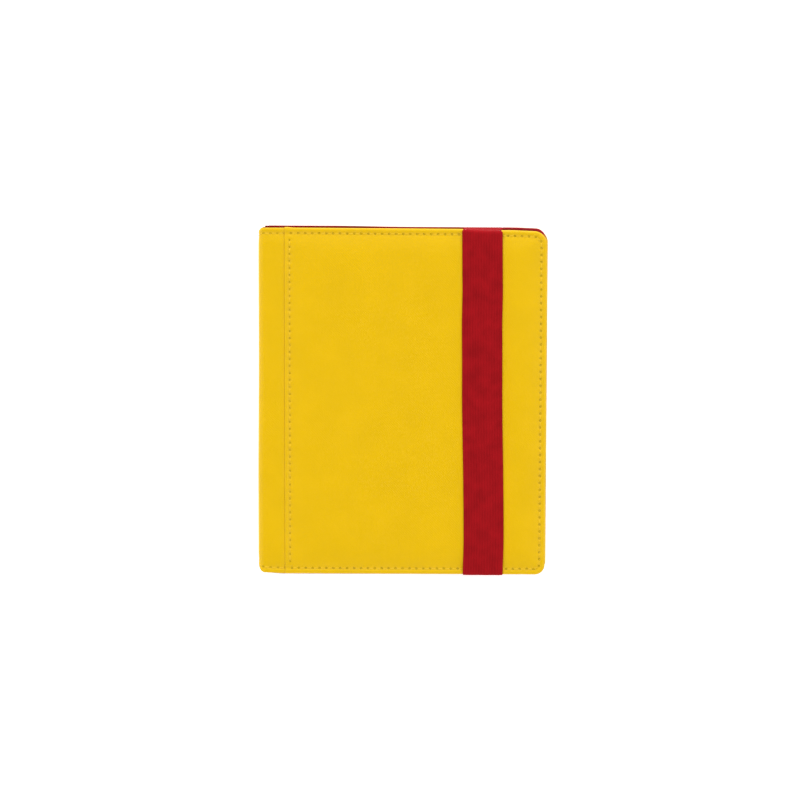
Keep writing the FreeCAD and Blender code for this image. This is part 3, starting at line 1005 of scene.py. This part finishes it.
class Nodes:
    """A material's node tree, with short ways to add and link nodes."""

    def __init__(self, name):
        self.material = bpy.data.materials.new(name)
        self.material.use_nodes = True
        self.tree = self.material.node_tree
        self.shader = self.tree.nodes["Principled BSDF"]

    def add(self, kind, inputs=(), **settings):
        node = self.tree.nodes.new(kind)
        for key, value in settings.items():
            setattr(node, key, value)
        for key, value in dict(inputs).items():
            if isinstance(value, bpy.types.NodeSocket):
                self.tree.links.new(value, node.inputs[key])
            else:
                node.inputs[key].default_value = value
        return node

    def math(self, operation, a, b=0.0):
        return self.add("ShaderNodeMath", {0: a, 1: b}, operation=operation).outputs[0]

    def plus(self, a, b):
        return self.math("ADD", a, b)

    def times(self, a, b):
        return self.math("MULTIPLY", a, b)

    def wave(self, value, period):
        return self.math("SINE", self.times(value, 2 * math.pi / period))

    def grain(self):
        """The place on the flat material, in millimetres, as the mesh holds it."""
        return self.add("ShaderNodeAttribute", attribute_name="grain").outputs["Vector"]

    def place(self):
        """The place on the object, in millimetres."""
        coordinates = self.add("ShaderNodeTexCoord").outputs["Object"]
        scaled = self.add("ShaderNodeVectorMath", {0: coordinates}, operation="SCALE")
        scaled.inputs["Scale"].default_value = 1 / MM
        return scaled.outputs[0]

    def noise(self, vector, scale, detail=2.0, roughness=0.5):
        inputs = {"Vector": vector, "Scale": scale, "Detail": detail, "Roughness": roughness}
        return self.add("ShaderNodeTexNoise", inputs).outputs["Fac"]

    def ramp(self, value, stops):
        node = self.add("ShaderNodeValToRGB", {"Fac": value})
        elements = node.color_ramp.elements
        while len(elements) < len(stops):
            elements.new(0.5)
        for element, (place, colour) in zip(elements, stops):
            element.position = place
            element.color = colour + (1,) if len(colour) == 3 else colour
        return node.outputs["Color"]

    def bump(self, height, distance, strength=1.0):
        node = self.add("ShaderNodeBump", {"Height": height, "Distance": distance * MM, "Strength": strength})
        self.tree.links.new(node.outputs["Normal"], self.shader.inputs["Normal"])

    def set(self, **values):
        for key, value in values.items():
            socket = self.shader.inputs[key.replace("_", " ")]
            if isinstance(value, bpy.types.NodeSocket):
                self.tree.links.new(value, socket)
            else:
                socket.default_value = value
        return self.material


def shade(colour, factor):
    """A colour made lighter or darker."""
    return tuple(min(1.0, c * factor) for c in colour)


YELLOW = (0.725, 0.445, 0.0006)
RED_CLOTH = (0.28, 0.004, 0.009)
RED_ELASTIC = (0.335, 0.0058, 0.0095)


def leatherette():
    """Yellow leatherette with crossed diagonal embossing, whose ridges are painted lighter as a highlight."""
    n = Nodes("leatherette")
    grain = n.grain()
    wobble = n.noise(grain, 0.35, 3.0)
    parts = n.add("ShaderNodeSeparateXYZ", {0: grain})
    x, y = parts.outputs[0], parts.outputs[1]
    turn = 2 * math.pi / 1.12 / math.sqrt(2)
    shift = n.times(wobble, 5.0)
    ridges = []
    for sign, seed in ((1.0, 0.0), (-1.0, 40.0)):
        phase = n.times(n.plus(x, n.times(y, sign)), turn)
        wave = n.math("SINE", n.plus(phase, shift))
        lifted = n.math("POWER", n.times(n.plus(wave, 1.0), 0.5), 2.0)
        moved = n.add("ShaderNodeVectorMath", {0: grain, 1: (seed, seed, 0)}, operation="ADD").outputs[0]
        broken = n.ramp(n.noise(moved, 0.9, 2.0), [(0.35, (0.35,) * 3), (0.6, (1.0,) * 3)])
        ridges.append(n.times(lifted, broken))
    height = n.math("MAXIMUM", ridges[0], ridges[1])
    pores = n.noise(grain, 6.0, 3.0)
    total = n.plus(height, n.times(pores, 0.05))
    n.bump(total, 0.075, 1.0)
    # The colour is lighter on the embossed ridges, a painted highlight, and varies at random with slow noise.
    tone = n.plus(n.times(height, 0.7), n.times(n.noise(grain, 0.05, 4.0), 0.5))
    colour = n.ramp(tone, [(0.15, shade(YELLOW, 0.94)), (0.5, YELLOW), (1.0, shade(YELLOW, 1.16))])
    rough = n.plus(n.times(height, -0.05), 0.30)
    return n.set(Base_Color=colour, Roughness=rough, Specular_IOR_Level=0.22)


def thread_material():
    """Yellow sewing thread."""
    n = Nodes("yellow_thread")
    place = n.place()
    tone = n.noise(place, 2.0, 2.0)
    colour = n.ramp(tone, [(0.3, (0.76, 0.49, 0.01)), (0.7, (0.83, 0.56, 0.04))])
    n.bump(n.noise(place, 9.0, 2.0), 0.05, 0.5)
    return n.set(Base_Color=colour, Roughness=0.55, Specular_IOR_Level=0.12)


def hole_shade_material():
    """Painted shade inside a needle hole in the yellow leatherette: a dark colour in place of the shade in the
    hole.
    """
    n = Nodes("needle_hole_shade")
    colour = n.ramp(n.noise(n.place(), 3.0, 2.0), [(0.3, (0.03, 0.016, 0.0)), (0.7, (0.06, 0.032, 0.0))])
    return n.set(Base_Color=colour, Roughness=0.8, Specular_IOR_Level=0.05)


def dark_thread_material(name, dark, light):
    """The red thread and the painted shade of its holes inside the covers, and the black thread of the binding."""
    n = Nodes(name)
    colour = n.ramp(n.noise(n.place(), 2.0, 2.0), [(0.3, dark), (0.7, light)])
    n.bump(n.noise(n.place(), 9.0, 2.0), 0.05, 0.5)
    return n.set(Base_Color=colour, Roughness=0.6, Specular_IOR_Level=0.25)


def lining_material():
    """Brushed dark red cloth."""
    n = Nodes("red_lining")
    grain = n.grain()
    stretched = n.add("ShaderNodeMapping", {"Vector": grain, "Scale": (1.0, 0.25, 1.0)}).outputs[0]
    nap = n.noise(stretched, 2.2, 5.0, 0.65)
    cloud = n.noise(grain, 0.05, 4.0)
    tone = n.plus(n.times(nap, 0.5), n.times(cloud, 0.5))
    dark, light = shade(RED_CLOTH, 0.72), shade(RED_CLOTH, 1.35)
    colour = n.ramp(tone, [(0.3, dark), (0.5, RED_CLOTH), (0.7, light)])
    n.bump(nap, 0.12, 0.6)
    return n.set(
        Base_Color=colour, Roughness=0.85, Sheen_Weight=0.25, Sheen_Roughness=0.5, Specular_IOR_Level=0.15
    )


def elastic_material():
    """Woven elastic: fine cross threads over the ribs, with painted shade darkening the furrows between them."""
    n = Nodes("red_elastic")
    grain = n.grain()
    parts = n.add("ShaderNodeSeparateXYZ", {0: grain})
    x, y = parts.outputs[0], parts.outputs[1]
    weft = n.wave(y, 0.62)
    warp = n.wave(x, 0.42)
    weave = n.times(n.plus(weft, 1.0), n.plus(warp, 1.4))
    from_edge = n.plus(x, STRAP_WIDTH / 2)
    rib = n.math("COSINE", n.times(from_edge, 2 * math.pi * STRAP_RIBS / STRAP_WIDTH))
    painted_furrow_shade = n.times(n.plus(rib, 1.0), 0.5)
    cloud = n.noise(grain, 0.12, 4.0)
    light = n.plus(n.times(cloud, 0.5), n.times(weave, 0.06))
    # The furrows between the ribs are painted darker: painted shade in the recesses.
    tone = n.math("SUBTRACT", light, n.times(painted_furrow_shade, 0.10))
    deep, pale = shade(RED_ELASTIC, 0.68), shade(RED_ELASTIC, 1.25)
    colour = n.ramp(tone, [(0.1, deep), (0.35, RED_ELASTIC), (0.6, pale)])
    n.bump(n.plus(weave, n.noise(grain, 5.0, 2.0)), 0.02, 0.6)
    return n.set(Base_Color=colour, Roughness=0.85, Specular_IOR_Level=0.05)


def page_material():
    """Black page sheet with a fine matt emboss."""
    n = Nodes("page_black")
    place = n.grain()
    fine = n.noise(place, 3.5, 2.0)
    colour = n.ramp(n.noise(place, 0.05, 3.0), [(0.3, (0.012, 0.012, 0.013)), (0.7, (0.022, 0.022, 0.024))])
    n.bump(fine, 0.05, 0.5)
    rough = n.plus(n.times(fine, 0.2), 0.45)
    return n.set(Base_Color=colour, Roughness=rough, Specular_IOR_Level=0.4)


def film_material():
    """Clear pocket film."""
    n = Nodes("pocket_clear")
    place = n.grain()
    haze = n.noise(place, 0.15, 3.0)
    n.bump(haze, 0.04, 0.35)
    colour = n.ramp(haze, [(0.3, (0.80, 0.82, 0.84)), (0.7, (0.88, 0.90, 0.91))])
    rough = n.plus(n.times(haze, 0.12), 0.06)
    n.material.blend_method = "BLEND"
    return n.set(Base_Color=colour, Roughness=rough, Alpha=0.10, Specular_IOR_Level=0.6)


def block_material():
    """The glued page margins: many thin black layers."""
    n = Nodes("page_margins")
    place = n.place()
    z = n.add("ShaderNodeSeparateXYZ", {0: place}).outputs[2]
    layers = n.wave(z, 1.08)
    tone = n.times(n.plus(layers, 1.0), 0.5)
    colour = n.ramp(tone, [(0.1, (0.006, 0.006, 0.006)), (0.8, (0.03, 0.03, 0.032))])
    n.bump(layers, 0.15, 0.8)
    return n.set(Base_Color=colour, Roughness=0.55, Specular_IOR_Level=0.35)


def board_material():
    """Grey board."""
    n = Nodes("grey_board")
    place = n.place()
    colour = n.ramp(n.noise(place, 0.8, 6.0, 0.7), [(0.35, (0.22, 0.21, 0.19)), (0.65, (0.36, 0.345, 0.32))])
    n.bump(n.noise(place, 2.5, 4.0), 0.1, 0.6)
    return n.set(Base_Color=colour, Roughness=0.9, Specular_IOR_Level=0.1)


def floor_material():
    """White studio floor that gives off a little light of its own."""
    n = Nodes("studio_floor")
    colour = n.ramp(n.noise(n.place(), 0.002, 2.0), [(0.3, (0.93, 0.93, 0.93)), (0.7, (0.95, 0.95, 0.95))])
    n.shader.inputs["Emission Color"].default_value = (1, 1, 1, 1)
    return n.set(Base_Color=colour, Roughness=0.9, Specular_IOR_Level=0.0, Emission_Strength=FLOOR_GLOW)


# Camera, light and floor

FLOOR_HALF = 6.0
FLOOR_GLOW = 0.45
WORLD_STRENGTH = 1.31
# The middle of the dark part of the sky, and the cosines of the angles where its edge starts and ends
DARK_DIRECTION = (0.075, -0.13, 0.9887)
DARK_EDGE = ((0.875, 1.0), (0.955, 0.0))
LAMP_PLACE = (0.0, 2.3, 0.36)
LAMP_SIZE = 0.6
LAMP_WATTS = 27.0
CAMERA_PLACE = (0.0818, 0.1162, 1.9)
CAMERA_TURN = (-3.503, 2.569, 0.276)
CAMERA_LENS = 134.4


def studio_floor():
    """Plain white floor."""
    size = FLOOR_HALF
    corners = [(-size, -size, 0), (size, -size, 0), (size, size, 0), (-size, size, 0)]
    floor_mesh = bpy.data.meshes.new("studio_floor")
    floor_mesh.from_pydata(corners, [], [(0, 1, 2, 3)])
    floor_mesh.materials.append(floor_material())
    floor = bpy.data.objects.new("studio_floor", floor_mesh)
    bpy.context.scene.collection.objects.link(floor)


def studio_sky():
    """Soft light from all sides, with a dark part overhead."""
    world = bpy.data.worlds.new("studio")
    world.use_nodes = True
    tree = world.node_tree
    direction = tree.nodes.new("ShaderNodeTexCoord").outputs["Generated"]
    dot = tree.nodes.new("ShaderNodeVectorMath")
    dot.operation = "DOT_PRODUCT"
    dot.inputs[1].default_value = DARK_DIRECTION
    tree.links.new(direction, dot.inputs[0])
    ramp = tree.nodes.new("ShaderNodeValToRGB")
    for element, (place, value) in zip(ramp.color_ramp.elements, DARK_EDGE):
        element.position = place
        element.color = (value, value, value, 1)
    tree.links.new(dot.outputs["Value"], ramp.inputs[0])
    background = tree.nodes["Background"]
    tree.links.new(ramp.outputs[0], background.inputs["Color"])
    background.inputs["Strength"].default_value = WORLD_STRENGTH
    bpy.context.scene.world = world


def head_light():
    """A low soft light beyond the head."""
    light = bpy.data.lights.new("head_light", "AREA")
    light.shape = "SQUARE"
    light.size = LAMP_SIZE
    light.energy = LAMP_WATTS
    lamp = bpy.data.objects.new("head_light", light)
    lamp.location = LAMP_PLACE
    lamp.rotation_euler = (-lamp.location).to_track_quat("-Z", "Y").to_euler()
    bpy.context.scene.collection.objects.link(lamp)


def main_camera():
    """The camera, above the front cover."""
    camera = bpy.data.cameras.new("camera")
    camera.lens = CAMERA_LENS
    camera.sensor_width = 36.0
    camera.clip_end = 20.0
    eye = bpy.data.objects.new("camera", camera)
    eye.location = CAMERA_PLACE
    eye.rotation_euler = Euler([math.radians(a) for a in CAMERA_TURN], "XYZ")
    bpy.context.scene.collection.objects.link(eye)
    bpy.context.scene.camera = eye
    bpy.context.scene.view_settings.view_transform = "Standard"


# The binder

def cover_pieces(side, front, leather, cloth, yellow, red):
    """One cover's padded panel and lining, and the stitches on both faces."""
    body = f"{side}_cover"

    def depth(x, y, d):
        padded = panel_depth(x, y, d)
        return padded if front else np.maximum(padded, LEAST_DEPTH)

    panel = cover_sheet(f"{side}_panel", front, PANEL_START, depth, panel_back, 0.0, 0.0, leather)
    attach(panel, body)
    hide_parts(f"{side}_outer_skin", f"{side}_foam")

    lining = cover_sheet(
        f"{side}_lining_cloth", front, LINING_START, lining_depth, lining_back, LINING_OVERHANG,
        LINING_SHY, cloth
    )
    lining.data.flip_normals()
    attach(lining, body)
    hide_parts(f"{side}_lining")

    outside = cover_stitches(f"{side}_outer_stitches", front, depth, 1, yellow)
    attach(outside, body)
    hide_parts(f"{side}_stitching")
    inside = cover_stitches(f"{side}_inner_stitches", front, lining_depth, -1, red)
    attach(inside, body)


def hinge_pieces(side, front, leather, cloth, yellow):
    """The wrap, its stitches and the lining that cross one hinge."""
    wrap = wrap_half(f"{side}_wrap", front, leather)
    threads = wrap_stitches(f"{side}_wrap_stitches", front, yellow)
    cloth_hinge = hinge_lining(f"{side}_hinge_lining", front, cloth)
    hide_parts(f"{side}_hinge_strip", "spine_wrap")
    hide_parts("spine_stitching")
    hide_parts("spine_lining")
    outside = ((4.6, 0, 0.2), (0.2, 0, 4.6))
    inside = ((LINING_START + 1.0, 0, COVER), (SPINE_INSIDE, 0, COVER + 1.4))
    for piece, (cover_place, spine_place) in ((wrap, outside), (threads, outside), (cloth_hinge, inside)):
        on_cover = from_cover([cover_place], front)[0] * MM
        on_spine = from_cover([spine_place], False)[0] * MM
        if front:
            on_spine[2] = THICKNESS * MM - on_spine[2]
            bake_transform(piece)
        else:
            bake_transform(piece)


def strap_piece():
    """The elastic strap, with a mesh of its own."""
    strap = elastic_strap(elastic_material())
    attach(strap, "strap")
    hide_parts("elastic_strap")
    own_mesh(strap)


def leaf_pieces():
    """The leaves, each a little out of line with its neighbours."""
    page, film = page_material(), film_material()
    generator = np.random.default_rng(7)
    for number in range(1, LEAF_COUNT + 1):
        shift = generator.uniform(-0.25, 0.25, 2)
        body = f"leaf_{number:02d}"
        sheet = leaf_sheet(number, page, shift)
        root, ahead, _, _ = leaf_frame(number)
        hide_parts(f"{body}_sheet")
        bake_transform(sheet)
        pockets = leaf_pockets(number, film, shift)
        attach(pockets, body)
        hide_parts(f"{body}_pockets")


def cad_materials():
    """Materials of the CAD nodes that stay."""
    board, margins = board_material(), block_material()
    black = dark_thread_material("black_thread", (0.01, 0.01, 0.01), (0.04, 0.04, 0.04))
    sewn = elastic_material()
    for node, material in (
        ("back_board", board), ("front_board", board), ("spine_board", board), ("binding_block", margins),
        ("binding_stitching", black), ("strap_sewn_ends", sewn),
    ):
        frame["nodes"][node].data.materials.clear()
        frame["nodes"][node].data.materials.append(material)


def build():
    leather = leatherette()
    cloth = lining_material()
    # The second yellow material is painted shade in the needle holes.
    yellow = [thread_material(), hole_shade_material()]
    red = [
        dark_thread_material("red_thread", (0.22, 0.003, 0.006), (0.36, 0.008, 0.014)),
        # The red hole colour is painted shade in the needle holes of the lining.
        dark_thread_material("red_hole_shade", (0.04, 0.0, 0.001), (0.06, 0.0, 0.002)),
    ]
    for side, front in (("front", True), ("back", False)):
        cover_pieces(side, front, leather, cloth, yellow, red)
        hinge_pieces(side, front, leather, cloth, yellow)
    strap_piece()
    leaf_pieces()
    cad_materials()


studio_floor()
studio_sky()
head_light()
main_camera()
build()
